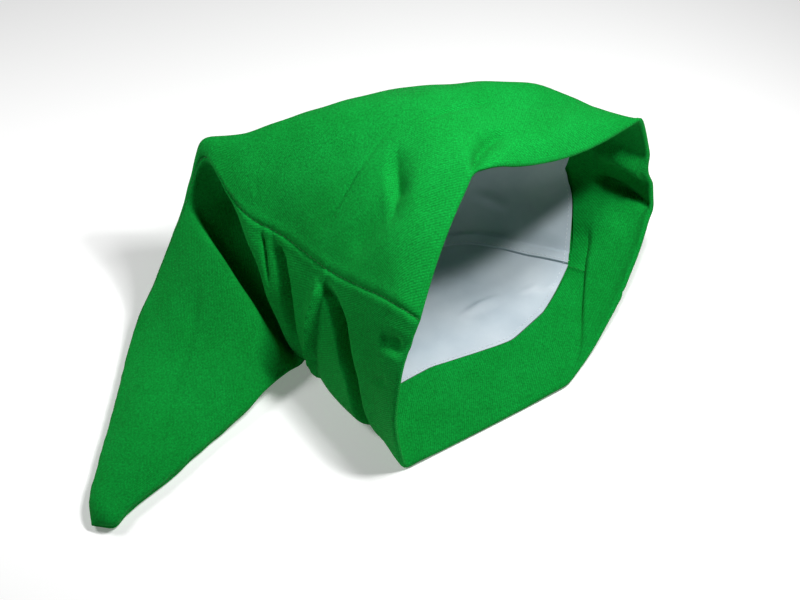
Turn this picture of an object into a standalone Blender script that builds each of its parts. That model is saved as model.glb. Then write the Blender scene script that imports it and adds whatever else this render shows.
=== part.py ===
"""Elf hat lying on a table: a long pointed cloth cap, its head opening to the right and its tail
folded over to the left. Two outer panels meet in two seams, the rim has a broad turned-in hem, and
a thin lining starts at the hem's edge. Metres, +Z up, origin at the bottom centre of its box."""

import bmesh
import bpy
import numpy as np

for thing in list(bpy.data.objects):
    bpy.data.objects.remove(thing)

# Outer size of the cap as it lies, in metres
LENGTH = 0.280            # left to right
DEPTH = 0.210             # front to back
HEIGHT = 0.125            # floor to the top of the brow

# Cloth, in metres
SHELL_WALL = 0.0015       # twill of the two outer panels
HEM_WALL = 0.003          # rim, where the twill is turned in and lies double
HEM_WIDTH = 0.040         # rim's edge to the start of the lining
HEM_STEP = 0.0008         # length over which the double cloth ends
LINING_WALL = 0.001       # satin inside
SEAM_GAP = 0.0003         # clearance between pieces that are sewn together
TAIL_PUFF = 0.007         # how far the tail's visible face swells
TAIL_EDGE = 0.0050        # thickness of the tail's sewn edges
EDGE_LOW = 0.3            # share of the tail's half edge at which its lower corners lie
THINNEST_SHARE = 0.4      # share of the depth inside that the cloth may fill
FOLD_WIDTH = 0.012        # half width of a full fold
FOLD_DEPTH = 0.008        # depth of a full fold
BULGE = 0.010             # swell of a full side of the body
SOFTNESS = 0.010          # rounding of a soft corner of the body

# How finely the cloth is divided
ROWS_IN_HEM = 4
ROWS_IN_BODY = 16
ROWS_IN_TAIL = 12
COLUMNS_IN_PANEL = 18
LAST_LINING_ROW = 14
CRIMP_ROWS = 3.5           # rows on each side of the fold that are eased
FACING_REACH = 0.008       # how far beside a point the cloth opposite it is looked for

# A section of the body has six corners, each at shares of LENGTH, DEPTH and HEIGHT from the front
# corner of the mouth. Place runs from 0 at the rim to 1 at the tip, and the body ends at CRIMP.
CRIMP = 0.52
# The corners are, in order: floor edge, near seam, brow, crest, far corner, right corner.
BODY_SECTIONS = [
    (0.00, (-0.014, 0.024, 0), (0.011, 0.143, 0.68), (0.107, 0.443, 0.98),
     (0.416, 0.750, 0.73), (0.460, 0.719, 0.26), (0.284, 0.268, 0)),
    (0.05, (-0.029, 0.043, 0), (-0.018, 0.171, 0.69), (0.089, 0.486, 0.99),
     (0.400, 0.757, 0.73), (0.450, 0.752, 0.24), (0.289, 0.343, 0)),
    (0.12, (-0.054, 0.081, 0), (-0.046, 0.205, 0.68), (0.046, 0.552, 0.99),
     (0.350, 0.790, 0.73), (0.407, 0.790, 0.22), (0.293, 0.476, 0)),
    (0.22, (-0.100, 0.138, 0), (-0.086, 0.257, 0.64), (-0.021, 0.648, 0.97),
     (0.221, 0.815, 0.81), (0.307, 0.833, 0.21), (0.207, 0.600, 0)),
    (0.32, (-0.136, 0.205, 0), (-0.150, 0.348, 0.58), (-0.107, 0.662, 0.93),
     (0.054, 0.800, 0.80), (0.143, 0.814, 0.19), (0.064, 0.619, 0)),
    (0.41, (-0.175, 0.300, 0), (-0.236, 0.467, 0.56), (-0.207, 0.676, 0.88),
     (-0.107, 0.752, 0.80), (-0.021, 0.705, 0.14), (-0.064, 0.562, 0)),
    (0.47, (-0.196, 0.329, 0), (-0.314, 0.533, 0.61), (-0.304, 0.676, 0.83),
     (-0.254, 0.698, 0.765), (-0.100, 0.570, 0.08), (-0.116, 0.505, 0)),
    (0.50, (-0.186, 0.376, 0.02), (-0.356, 0.605, 0.68), (-0.352, 0.676, 0.79),
     (-0.329, 0.690, 0.76), (-0.132, 0.525, 0.06), (-0.142, 0.480, 0.01)),
    (CRIMP, (-0.179, 0.430, 0.05), (-0.368, 0.648, 0.68), (-0.376, 0.676, 0.75),
     (-0.374, 0.700, 0.71), (-0.158, 0.505, 0.05), (-0.163, 0.470, 0.02)),
]

# Swell of the six sides between the corners, as shares of BULGE, softness of the corners as a
# share of SOFTNESS, and how far from the far corner to the right corner the far seam runs
SIDE_COLUMNS = "place near slope top far under flat softness far_seam".split()
BODY_SIDES = [
    (0.00, 1.2, 0.3, -1.0, 0.3, 0.8, 0.1, 0.2, 0.45),
    (0.05, 1.0, 0.4, -0.2, 0.3, 0.7, 0.1, 0.6, 0.52),
    (0.12, 0.8, 0.6, 0.5, 0.5, 0.4, 0.1, 0.9, 0.63),
    (0.22, 0.7, 0.6, 0.8, 0.7, 0.3, 0.1, 1.0, 0.70),
    (0.32, 0.8, 0.6, 0.5, 0.8, 0.3, 0.1, 0.9, 0.65),
    (0.41, 0.9, 0.5, 0, 0.7, 0.3, 0.1, 0.9, 0.60),
    (0.47, 0.4, 0.3, 0.1, 0.6, 0.2, 0, 1.0, 0.50),
    (0.50, 0.3, 0.1, 0.1, 0.9, 0.1, 0, 0.6, 0.50),
    (CRIMP, -0.1, 0, 0, 0.9, 0, 0, 0.3, 0.50),
]

# A section of the tail is a flat tube between its left and right edges, in the same shares, with
# the swells of its visible face and of its underside as shares of TAIL_PUFF. Close to the fold the
# visible face sinks in behind the body.
TAIL_SECTIONS = [
    (0.56, (-0.389, 0.650, 0.61), (-0.205, 0.400, 0.07), -0.4, 0.6),
    (0.61, (-0.416, 0.600, 0.45), (-0.226, 0.285, 0.05), 0.9, 0.4),
    (0.70, (-0.471, 0.510, 0.19), (-0.300, 0.171, 0.04), 1.0, 0.4),
    (0.78, (-0.511, 0.400, 0.06), (-0.357, 0.086, 0.03), 1.0, 0.4),
    (0.86, (-0.525, 0.219, 0.04), (-0.418, -0.005, 0.03), 0.9, 0.4),
    (0.94, (-0.539, 0.029, 0.03), (-0.475, -0.100, 0.03), 0.6, 0.3),
    (1.00, (-0.536, -0.118, 0.02), (-0.511, -0.142, 0.02), 0.1, 0),
]

# Folds and dents, from one place to another. Round is the share of the way round the section: 0 at
# the near seam, 0.5 at the far seam, 1 back at the near seam. Width and depth are shares of
# FOLD_WIDTH and FOLD_DEPTH, and a depth below 0 is a valley.
FOLD_COLUMNS = "place round to_place to_round width depth".split()
FOLDS = [
    (0.395, 1.000, 0.400, 0.800, 1.0, 0.30),
    (0.345, 0.985, 0.335, 0.780, 1.2, -0.60),
    (0.455, 0.985, 0.450, 0.860, 1.0, -0.40),
    (0.230, 0.960, 0.180, 0.800, 1.3, -0.25),
    (0.000, 0.140, 0.110, 0.175, 0.9, -0.40),
    (0.010, 0.416, 0.150, 0.414, 0.8, 0.40),
    (0.000, 0.376, 0.150, 0.380, 0.9, -0.55),
    (0.210, 0.120, 0.330, 0.080, 1.6, -0.35),
    (0.110, 0.200, 0.160, 0.300, 1.0, -0.30),
]

# Colours of the cloth as linear values
GREEN = (0.010, 0.360, 0.045, 1)
WHITE = (0.75, 0.80, 0.86, 1)

# Samples of the smooth surface that the pieces are read from
PLACES = 157
SIDE_SAMPLES = 40
ROUND_SAMPLES = 360


def smooth_values(places, values, at):
    """A curve through hand-set values that never swings past them."""
    places = np.asarray(places, float)
    values = np.asarray(values, float)
    run = np.diff(places)
    slope = np.diff(values) / run
    tangent = np.zeros(len(values))
    tangent[0] = slope[0]
    tangent[-1] = slope[-1]
    for i in range(1, len(values) - 1):
        if slope[i - 1] * slope[i] > 0:
            mean = (slope[i - 1] * run[i] + slope[i] * run[i - 1]) / (run[i] + run[i - 1])
            limit = 3 * min(abs(slope[i - 1]), abs(slope[i]))
            tangent[i] = np.sign(mean) * min(abs(mean), limit)
    i = np.clip(np.searchsorted(places, at, side="right") - 1, 0, len(run) - 1)
    t = (at - places[i]) / run[i]
    return ((2 * t**3 - 3 * t**2 + 1) * values[i] + (t**3 - 2 * t**2 + t) * run[i] * tangent[i]
            + (3 * t**2 - 2 * t**3) * values[i + 1] + (t**3 - t**2) * run[i] * tangent[i + 1])


def all_sections():
    """Places, corners in metres, swells, softness and far seam of every section, rim to tip."""
    size = np.array([LENGTH, DEPTH, HEIGHT])
    places, corners, swells, softness, far_seam = [], [], [], [], []
    for section, sides in zip(BODY_SECTIONS, BODY_SIDES):
        side = dict(zip(SIDE_COLUMNS, sides))
        places.append(section[0])
        corners.append(np.array(section[1:]) * size)
        swells.append([side[name] * BULGE for name in SIDE_COLUMNS[1:7]])
        softness.append(side["softness"] * SOFTNESS)
        far_seam.append(side["far_seam"])
    for place, left, right, puff, under in TAIL_SECTIONS:
        left = np.array(left) * size
        right = np.array(right) * size
        across = (right - left) / np.linalg.norm(right - left)
        ahead = np.array([across[1], -across[0], 0])
        face = np.cross(ahead / np.linalg.norm(ahead), across)
        face *= np.sign(face[2])
        half = face * TAIL_EDGE / 2
        places.append(place)
        corners.append([right + half, left + half, left + half * EDGE_LOW, left - half,
                        right - half, right + half * EDGE_LOW])
        swells.append([puff * TAIL_PUFF, 0, 0, under * TAIL_PUFF, 0, 0])
        softness.append(0.1 * SOFTNESS)
        far_seam.append(0.5)
    return np.array(places), np.array(corners), np.array(swells), softness, far_seam


def section_loop(corners, swells, softness, far_seam):
    """Points round one section, from the near seam over the top to the far seam and back below."""
    centre = corners.mean(axis=0)
    share = np.linspace(0, 1, SIDE_SAMPLES, endpoint=False)[:, None]
    sides = []
    for k, swell in enumerate(swells):
        start = corners[k]
        along = corners[(k + 1) % 6] - start
        away = start + along / 2 - centre
        away = away - (away @ along) / (along @ along) * along
        away = away / np.linalg.norm(away)
        sides.append(start + share * along + 4 * share * (1 - share) * swell * away)
    loop = np.concatenate(sides)
    loop = np.vstack([loop, loop[:1]])
    reach = np.concatenate([[0], np.cumsum(np.linalg.norm(np.diff(loop, axis=0), axis=1))])
    girth = reach[-1]
    near_seam = reach[SIDE_SAMPLES]
    far_corner, right_corner = reach[4 * SIDE_SAMPLES], reach[5 * SIDE_SAMPLES]
    opposite = far_corner + (right_corner - far_corner) * far_seam
    even = np.linspace(0, girth, ROUND_SAMPLES, endpoint=False)
    points = np.stack([np.interp(even, reach, loop[:, axis]) for axis in range(3)], axis=1)
    waves = np.fft.rfftfreq(ROUND_SAMPLES, d=girth / ROUND_SAMPLES)
    rounding = np.exp(-2 * (np.pi * waves * softness) ** 2)[:, None]
    points = np.fft.irfft(np.fft.rfft(points, axis=0) * rounding, n=ROUND_SAMPLES, axis=0)
    points[:, 2] = np.maximum(points[:, 2], 0)
    half = COLUMNS_IN_PANEL
    upper = np.linspace(near_seam, opposite, half, endpoint=False)
    lower = np.linspace(opposite, near_seam + girth, half, endpoint=False)
    reads = np.concatenate([upper, lower]) % girth
    points = np.vstack([points, points[:1]])
    even = np.append(even, girth)
    return np.stack([np.interp(reads, even, points[:, axis]) for axis in range(3)], axis=1), girth


def unit(vectors):
    return vectors / np.maximum(np.linalg.norm(vectors, axis=-1, keepdims=True), 1e-12)


def normals_of(grid):
    """Outward directions of a grid of points whose second axis closes on itself."""
    beside = np.roll(grid, -1, axis=1)
    cells = unit(np.cross(beside[1:] - grid[:-1], grid[1:] - beside[:-1]))
    cells = cells + np.roll(cells, 1, axis=1)
    return unit(np.concatenate([cells[:1], cells]) + np.concatenate([cells, cells[-1:]]))


def add_folds(grid, places, girths):
    """Push the folds' ridges out and their valleys in."""
    steps = np.linalg.norm(np.diff(grid, axis=0), axis=2).mean(axis=1)
    reach = np.concatenate([[0], np.cumsum(steps)])
    share = np.arange(grid.shape[1]) / grid.shape[1]
    height = np.zeros(grid.shape[:2])
    for row in FOLDS:
        fold = dict(zip(FOLD_COLUMNS, row))
        start, end = np.interp([fold["place"], fold["to_place"]], places, reach)
        girth = np.interp((fold["place"] + fold["to_place"]) / 2, places, girths)
        turn = np.array([end - start, (fold["to_round"] - fold["round"]) * girth])
        offset = (share - fold["round"] + 0.5) % 1 - 0.5
        from_start = np.stack(np.broadcast_arrays((reach - start)[:, None], offset * girth), axis=2)
        along = np.clip(from_start @ turn / (turn @ turn), 0, 1)
        away = np.linalg.norm(from_start - along[..., None] * turn, axis=2)
        spread = np.clip(1 - (away / (fold["width"] * FOLD_WIDTH)) ** 2, 0, 1) ** 2
        height += fold["depth"] * FOLD_DEPTH * spread
    folded = grid + normals_of(grid) * height[..., None]
    folded[..., 2] = np.maximum(folded[..., 2], 0)
    return folded


def cap_surface():
    """The outer face of the whole cap as a grid of points, rim to tip and round, and its places."""
    set_places, corners, swells, softness, far_seam = all_sections()
    places = np.linspace(0, 1, PLACES)
    loops, girths = [], []
    for place in places:
        at_corners = np.array([[smooth_values(set_places, corners[:, k, axis], place)
                                for axis in range(3)] for k in range(6)])
        at_swells = [smooth_values(set_places, swells[:, k], place) for k in range(6)]
        at_softness = smooth_values(set_places, softness, place)
        at_seam = smooth_values(set_places, far_seam, place)
        loop, girth = section_loop(at_corners, at_swells, at_softness, at_seam)
        loops.append(loop)
        girths.append(girth)
    return add_folds(np.array(loops), places, np.array(girths)), places


def cloth_rows(surface, places):
    """Read the rows of the pieces: the hem's own rows keep an even distance from the rim."""
    steps = np.linalg.norm(np.diff(surface, axis=0), axis=2)
    reach = np.vstack([np.zeros(surface.shape[1]), np.cumsum(steps, axis=0)])
    body = np.arange(1, ROWS_IN_BODY + 1) / ROWS_IN_BODY
    tail = CRIMP + (1 - CRIMP) * np.arange(1, ROWS_IN_TAIL + 1) / ROWS_IN_TAIL
    rows = np.empty((ROWS_IN_HEM + 2 + ROWS_IN_BODY + ROWS_IN_TAIL, surface.shape[1], 3))
    for j in range(surface.shape[1]):
        hem_end, step_end = np.interp([HEM_WIDTH, HEM_WIDTH + HEM_STEP], reach[:, j], places)
        hem = hem_end * np.arange(ROWS_IN_HEM + 1) / ROWS_IN_HEM
        at = np.concatenate([hem, [step_end], step_end + (CRIMP - step_end) * body, tail])
        for axis in range(3):
            rows[:, j, axis] = np.interp(at, places, surface[:, j, axis])
    return rows


def ease_crimp(rows):
    """Round the sharp turn where the tail folds over, and leave the rest of the cloth."""
    crimp_row = ROWS_IN_HEM + 1 + ROWS_IN_BODY
    apart = np.abs(np.arange(len(rows)) - crimp_row - 0.5)
    share = np.clip(1 - apart / CRIMP_ROWS, 0, 1)[1:-1, None, None]
    rows[1:-1] += share * ((rows[:-2] + rows[2:]) / 2 - rows[1:-1]) / 2
    return rows


def softened(normals, rounds=3):
    """The same directions, each drawn towards its neighbours."""
    for _ in range(rounds):
        beside = np.roll(normals, 1, axis=1) + np.roll(normals, -1, axis=1)
        ends = np.concatenate([normals[:1], normals, normals[-1:]])
        normals = 2 * normals + beside + ends[:-2] + ends[2:]
        normals = unit(normals)
    return normals


def free_depth(rows, normals):
    """How far in from each point the nearest cloth that faces the other way lies."""
    points = rows.reshape(-1, 3)
    out = normals.reshape(-1, 3)
    depth = np.full(len(points), np.inf)
    for k, (point, way) in enumerate(zip(points, out)):
        apart = points - point
        inward = -(apart @ way)
        beside = np.linalg.norm(apart + inward[:, None] * way, axis=1)
        opposite = (out @ way < -0.2) & (inward > 0.4 * beside) & (beside < FACING_REACH)
        if opposite.any():
            depth[k] = inward[opposite].min()
    return depth.reshape(rows.shape[:2])


def part_seams(layers, rows, columns, first_row=0):
    """Draw a panel's two long edges back from the panel that it is sewn to."""
    across = unit(np.roll(rows, -1, axis=1) - np.roll(rows, 1, axis=1)) * SEAM_GAP / 2
    for layer in layers:
        way = across[first_row:first_row + len(layer)]
        layer[:, 0] += way[:, columns[0]]
        layer[:, -1] -= way[:, columns[-1]]


def cloth_solid(name, outer, inner, material):
    """One closed piece of cloth between two grids of points with the same rows and columns."""
    rows, columns = outer.shape[:2]
    mesh = bmesh.new()
    sheets = [[[mesh.verts.new(point) for point in row] for row in grid] for grid in (outer, inner)]

    def two_triangles(a, b, c, d):
        mesh.faces.new((a, b, c))
        mesh.faces.new((a, c, d))

    front, back = sheets
    for i in range(rows - 1):
        for j in range(columns - 1):
            two_triangles(front[i][j], front[i][j + 1], front[i + 1][j + 1], front[i + 1][j])
            two_triangles(back[i][j], back[i + 1][j], back[i + 1][j + 1], back[i][j + 1])
    for i in range(rows - 1):
        two_triangles(front[i][0], front[i + 1][0], back[i + 1][0], back[i][0])
        two_triangles(front[i][-1], back[i][-1], back[i + 1][-1], front[i + 1][-1])
    for j in range(columns - 1):
        two_triangles(back[0][j], back[0][j + 1], front[0][j + 1], front[0][j])
        two_triangles(front[-1][j], front[-1][j + 1], back[-1][j + 1], back[-1][j])
    data = bpy.data.meshes.new(name)
    mesh.to_mesh(data)
    mesh.free()
    data.materials.append(material)
    data.shade_smooth()
    data.set_sharp_from_angle(angle=np.radians(50))
    piece = bpy.data.objects.new(name, data)
    bpy.context.scene.collection.objects.link(piece)
    return piece


def cloth_material(name, colour, roughness):
    material = bpy.data.materials.new(name)
    material.use_nodes = True
    surface = material.node_tree.nodes["Principled BSDF"]
    surface.inputs["Base Color"].default_value = colour
    surface.inputs["Roughness"].default_value = roughness
    surface.inputs["Metallic"].default_value = 0
    return material


def build_cap():
    surface, places = cap_surface()
    rows = ease_crimp(cloth_rows(surface, places))
    normals = normals_of(rows)
    room = THINNEST_SHARE * free_depth(rows, normals)[..., None]
    normals = softened(normals)
    low, high = rows.min(axis=(0, 1)), rows.max(axis=(0, 1))
    rows = rows - [(low[0] + high[0]) / 2, (low[1] + high[1]) / 2, low[2]]

    wall = np.full(rows.shape[:2] + (1,), SHELL_WALL)
    wall[:ROWS_IN_HEM + 1] = HEM_WALL
    shell_inner = rows - normals * np.minimum(wall, room)
    lining_outer = rows - normals * (SHELL_WALL + SEAM_GAP)
    lining_inner = lining_outer - normals * LINING_WALL

    twill = cloth_material("Green cotton twill", GREEN, 0.85)
    satin = cloth_material("White lining satin", WHITE, 0.5)
    first = ROWS_IN_HEM + 1
    last = first + LAST_LINING_ROW - 1
    half = COLUMNS_IN_PANEL
    for side, columns in (("upper", np.arange(half + 1)), ("lower", np.arange(half, 2 * half + 1))):
        columns = columns % (2 * half)
        shell = [rows[:, columns].copy(), shell_inner[:, columns].copy()]
        lining = [layer[first:last][:, columns].copy() for layer in (lining_outer, lining_inner)]
        part_seams(shell, rows, columns)
        part_seams(lining, rows, columns, first)
        for layer in lining:
            layer[0] += unit(layer[1] - layer[0]) * SEAM_GAP
        cloth_solid(side + "_panel", *shell, twill)
        cloth_solid("lining_" + side, *lining, satin)


build_cap()
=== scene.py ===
# %% [markdown]
# # Elf hat lying on a table
# The real hat is a long pointed cap of green twill, taken to be cotton. It lies on its side: the
# head opening looks to the right, and the tail is folded over the body's left end and lies flat in
# front of it. It is taken to have two panels that meet in two seams. The rim is turned in by 35 to
# 54 mm, and a thin white lining starts there.
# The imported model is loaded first. It fixes the frame and the box that the pieces below keep to.

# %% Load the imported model
import bpy
import numpy as np
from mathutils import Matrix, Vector


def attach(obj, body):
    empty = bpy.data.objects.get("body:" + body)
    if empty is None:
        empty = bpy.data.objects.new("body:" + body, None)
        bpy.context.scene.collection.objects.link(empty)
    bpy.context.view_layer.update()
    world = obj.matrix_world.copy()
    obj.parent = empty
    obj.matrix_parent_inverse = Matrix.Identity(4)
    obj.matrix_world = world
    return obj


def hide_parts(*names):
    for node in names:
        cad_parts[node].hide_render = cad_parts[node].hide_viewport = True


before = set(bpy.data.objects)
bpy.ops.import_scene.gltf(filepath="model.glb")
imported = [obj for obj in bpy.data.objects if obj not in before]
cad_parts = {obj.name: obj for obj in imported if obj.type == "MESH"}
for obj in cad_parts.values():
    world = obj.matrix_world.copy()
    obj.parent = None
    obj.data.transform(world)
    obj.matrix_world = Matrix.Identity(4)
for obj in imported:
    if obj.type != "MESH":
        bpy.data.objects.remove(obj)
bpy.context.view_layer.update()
scene = bpy.context.scene
MM = 0.001
print("nodes:", sorted(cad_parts))

# %% [markdown]
# ## Camera
# The photograph is taken to look down on the hat from the front, 50 degrees above the table and
# from less than a metre away. Both are given. A lens of about 72 mm then frames the hat.

# %% Camera
PHOTO_WIDTH = 800                 # pixels
MM_PER_PIXEL = 0.53               # at the point that the camera looks at
CAMERA_DISTANCE = 850 * MM
CAMERA_ELEVATION = np.radians(50)
SENSOR_WIDTH = 36                 # mm, as on a full-frame camera
LOOK_AT = Vector((4.02 * MM, 39.25 * MM, 0))

eye = bpy.data.objects.new("Camera", bpy.data.cameras.new("Camera"))
scene.collection.objects.link(eye)
backwards = Vector((0, -np.cos(CAMERA_ELEVATION), np.sin(CAMERA_ELEVATION)))
eye.location = LOOK_AT + backwards * CAMERA_DISTANCE
eye.rotation_euler = backwards.to_track_quat("Z", "Y").to_euler()
eye.data.sensor_width = SENSOR_WIDTH
eye.data.lens = SENSOR_WIDTH * CAMERA_DISTANCE / (MM_PER_PIXEL * MM) / PHOTO_WIDTH
eye.data.clip_start = 10 * MM
scene.camera = eye
scene.view_settings.view_transform = "Standard"
print("lens in mm:", round(eye.data.lens, 1))

# %% [markdown]
# ## The surface of the hat
# A soft thing like this has no profile to turn or extrude. It is easier to describe it by its
# cross sections: each one is a loop with six corners, such as the brow on top and the edge that
# lies on the table, and its sides swell a little between them. The body ends at the fold, and
# the tail behind it is a flat tube. The tables start from the solid model's, which this file can't
# read, and bend the cloth deeper into the cleft at the fold than stiff walls can go. A smooth curve
# runs through each column of numbers, so a section exists at any place.

# %% Sizes and sections
LENGTH, DEPTH, HEIGHT = 280 * MM, 210 * MM, 125 * MM
SHELL_WALL = 1.5 * MM             # of the panels, and of the hem, which lies double
HEM_WALL = 3 * MM
HEM_WIDTHS = [(0, 40), (0.34, 40), (0.40, 54), (0.455, 44), (0.50, 36), (0.57, 35), (0.64, 40),
              (0.70, 48), (0.80, 46), (0.90, 42), (1, 40)]    # share round, and mm
HEM_STEP = 0.8 * MM               # over which the hem's wall thins to one layer
LINING_WALL = 1 * MM
SEAM_GAP = 0.05 * MM              # between two pieces that are sewn together
TAIL_PUFF = 7 * MM                # a swell of 1 in the tail's table
TAIL_EDGE = 5 * MM
EDGE_LOW = 0.3                    # where the outer corner of the tail's edge lies below its top
BULGE = 10 * MM                   # a swell of 1 in the body's table
SOFTNESS = 10 * MM                # a softness of 1
TAIL_SOFTNESS = 0.1
CORNERS = 6                       # of a section

# Corners of the body: floor edge, near seam, brow, crest, far corner, right corner, as shares of
# the length, depth and height. Place runs from 0 at the rim to 1 at the tip.
CRIMP = 0.52                      # the place of the fold, where the body ends
BODY_SECTIONS = [
    (0.00, (-0.014, 0.024, 0), (0.011, 0.143, 0.68), (0.107, 0.443, 0.98),
     (0.416, 0.750, 0.73), (0.460, 0.719, 0.26), (0.284, 0.268, 0)),
    (0.05, (-0.029, 0.043, 0), (-0.018, 0.171, 0.69), (0.089, 0.486, 0.99),
     (0.400, 0.757, 0.73), (0.450, 0.752, 0.24), (0.289, 0.343, 0)),
    (0.12, (-0.054, 0.081, 0), (-0.046, 0.205, 0.68), (0.046, 0.552, 0.99),
     (0.350, 0.790, 0.73), (0.407, 0.790, 0.22), (0.293, 0.476, 0)),
    (0.22, (-0.100, 0.138, 0), (-0.086, 0.257, 0.64), (-0.021, 0.648, 0.97),
     (0.221, 0.815, 0.81), (0.307, 0.833, 0.21), (0.207, 0.600, 0)),
    (0.32, (-0.136, 0.205, 0), (-0.150, 0.348, 0.58), (-0.107, 0.662, 0.93),
     (0.054, 0.800, 0.80), (0.143, 0.814, 0.19), (0.064, 0.619, 0)),
    (0.41, (-0.175, 0.300, 0), (-0.236, 0.467, 0.56), (-0.207, 0.676, 0.88),
     (-0.107, 0.752, 0.80), (-0.021, 0.705, 0.14), (-0.064, 0.562, 0)),
    (0.47, (-0.196, 0.329, 0), (-0.314, 0.533, 0.61), (-0.304, 0.676, 0.81),
     (-0.254, 0.698, 0.75), (-0.100, 0.570, 0.08), (-0.116, 0.505, 0)),
    (0.50, (-0.186, 0.376, 0.02), (-0.356, 0.605, 0.68), (-0.352, 0.676, 0.765),
     (-0.329, 0.690, 0.735), (-0.132, 0.525, 0.06), (-0.142, 0.480, 0.01)),
    (CRIMP, (-0.179, 0.430, 0.05), (-0.368, 0.648, 0.68), (-0.376, 0.676, 0.75),
     (-0.374, 0.700, 0.71), (-0.158, 0.505, 0.05), (-0.163, 0.470, 0.02)),
]
SIDE_COLUMNS = "place near slope top far under flat softness far_seam".split()
BODY_SIDES = [
    (0.00, 1.2, 0.3, -1.0, 0.3, 0.8, 0.1, 0.2, 0.45),
    (0.05, 1.0, 0.4, -0.2, 0.3, 0.7, 0.1, 0.6, 0.52),
    (0.12, 0.8, 0.6, 0.3, 0.5, 0.4, 0.1, 0.9, 0.63),
    (0.22, 0.7, 0.6, 0.5, 0.7, 0.3, 0.1, 1.0, 0.76),
    (0.32, 0.8, 0.6, 0.5, 0.8, 0.3, 0.1, 0.9, 0.62),
    (0.41, 0.9, 0.5, 0, 0.7, 0.3, 0.1, 0.9, 0.60),
    (0.47, 0.2, 0.3, -0.1, 0.6, 0.2, 0, 1.0, 0.50),
    (0.50, -1.0, 0.1, -0.2, 1.5, 0.1, 0, 0.5, 0.50),
    (CRIMP, -1.4, 0, 0, 2.2, 0, 0, 0.3, 0.50),
]
# Left edge, right edge, and the swells of the visible face and of the underside
TAIL_SECTIONS = [
    (0.56, (-0.389, 0.650, 0.61), (-0.190, 0.370, 0.05), -2.2, 2.4),
    (0.59, (-0.405, 0.620, 0.51), (-0.200, 0.315, 0.04), -1.6, 1.8),
    (0.61, (-0.416, 0.600, 0.45), (-0.226, 0.285, 0.05), 1.3, 0.3),
    (0.70, (-0.471, 0.510, 0.19), (-0.300, 0.171, 0.04), 1.0, 0.4),
    (0.78, (-0.511, 0.400, 0.06), (-0.357, 0.086, 0.03), 1.0, 0.4),
    (0.86, (-0.525, 0.219, 0.04), (-0.418, -0.005, 0.03), 0.9, 0.4),
    (0.94, (-0.544, 0.029, 0.03), (-0.483, -0.100, 0.03), 0.6, 0.3),
    (0.98, (-0.551, -0.076, 0.03), (-0.509, -0.140, 0.03), 0.5, 0.2),
    (1.00, (-0.546, -0.126, 0.02), (-0.534, -0.138, 0.02), 0.1, 0),
]
print("sections:", len(BODY_SECTIONS), "of the body and", len(TAIL_SECTIONS), "of the tail")


# %% A curve through the numbers of the tables
def smooth_values(places, values, at):
    """A curve through given values that never swings past them."""
    places = np.asarray(places, float)
    values = np.asarray(values, float)
    run = np.diff(places)
    slope = np.diff(values) / run
    tangent = np.zeros(len(values))
    tangent[0] = slope[0]
    tangent[-1] = slope[-1]
    for i in range(1, len(values) - 1):
        if slope[i - 1] * slope[i] > 0:
            mean = (slope[i - 1] * run[i] + slope[i] * run[i - 1]) / (run[i] + run[i - 1])
            limit = 3 * min(abs(slope[i - 1]), abs(slope[i]))
            tangent[i] = np.sign(mean) * min(abs(mean), limit)
    i = np.clip(np.searchsorted(places, at, side="right") - 1, 0, len(run) - 1)
    t = (at - places[i]) / run[i]
    return ((2 * t**3 - 3 * t**2 + 1) * values[i] + (t**3 - 2 * t**2 + t) * run[i] * tangent[i]
            + (3 * t**2 - 2 * t**3) * values[i + 1] + (t**3 - t**2) * run[i] * tangent[i + 1])


print("halfway between 0 and 1:", round(float(smooth_values([0, 1], [0, 1], np.array(0.5))), 2))


# %% All sections as corners in metres
def all_sections():
    size = np.array([LENGTH, DEPTH, HEIGHT])
    places, corners, swells, softness, far_seam = [], [], [], [], []
    for section, sides in zip(BODY_SECTIONS, BODY_SIDES):
        side = dict(zip(SIDE_COLUMNS, sides))
        places.append(section[0])
        corners.append(np.array(section[1:]) * size)
        swells.append([side[name] * BULGE for name in SIDE_COLUMNS[1:CORNERS + 1]])
        softness.append(side["softness"] * SOFTNESS)
        far_seam.append(side["far_seam"])
    for place, left, right, puff, under in TAIL_SECTIONS:
        left = np.array(left) * size
        right = np.array(right) * size
        across = (right - left) / np.linalg.norm(right - left)
        ahead = np.array([across[1], -across[0], 0])
        face = np.cross(ahead / np.linalg.norm(ahead), across)
        face *= np.sign(face[2])
        half = face * TAIL_EDGE / 2
        places.append(place)
        corners.append([right + half, left + half, left + half * EDGE_LOW, left - half,
                        right - half, right + half * EDGE_LOW])
        swells.append([puff * TAIL_PUFF, 0, 0, under * TAIL_PUFF, 0, 0])
        softness.append(TAIL_SOFTNESS * SOFTNESS)
        far_seam.append(0.5)
    return np.array(places), np.array(corners), np.array(swells), softness, far_seam


set_places, set_corners, set_swells, set_softness, set_seams = all_sections()
print("corners of all sections:", set_corners.shape)

# %% [markdown]
# Each section becomes a loop of points. The corners of folded cloth are never knife sharp, so the
# loop is blurred by its local softness. The points of a panel are then read from seam to seam.
# They lie closer together beside the seams, where the pressed edges need finer steps.

# %% One section as a loop of points
COLUMNS = 170                     # of each panel
CROWDING = 0.65                   # how much closer the columns are beside a seam
SIDE_SAMPLES = 60
ROUND_SAMPLES = 720

steps = np.linspace(0, 1, COLUMNS + 1)
panel_shares = steps - CROWDING * np.sin(2 * np.pi * steps) / (2 * np.pi)
shares = np.concatenate([panel_shares[:-1], 1 + panel_shares[:-1]]) / 2


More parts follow.
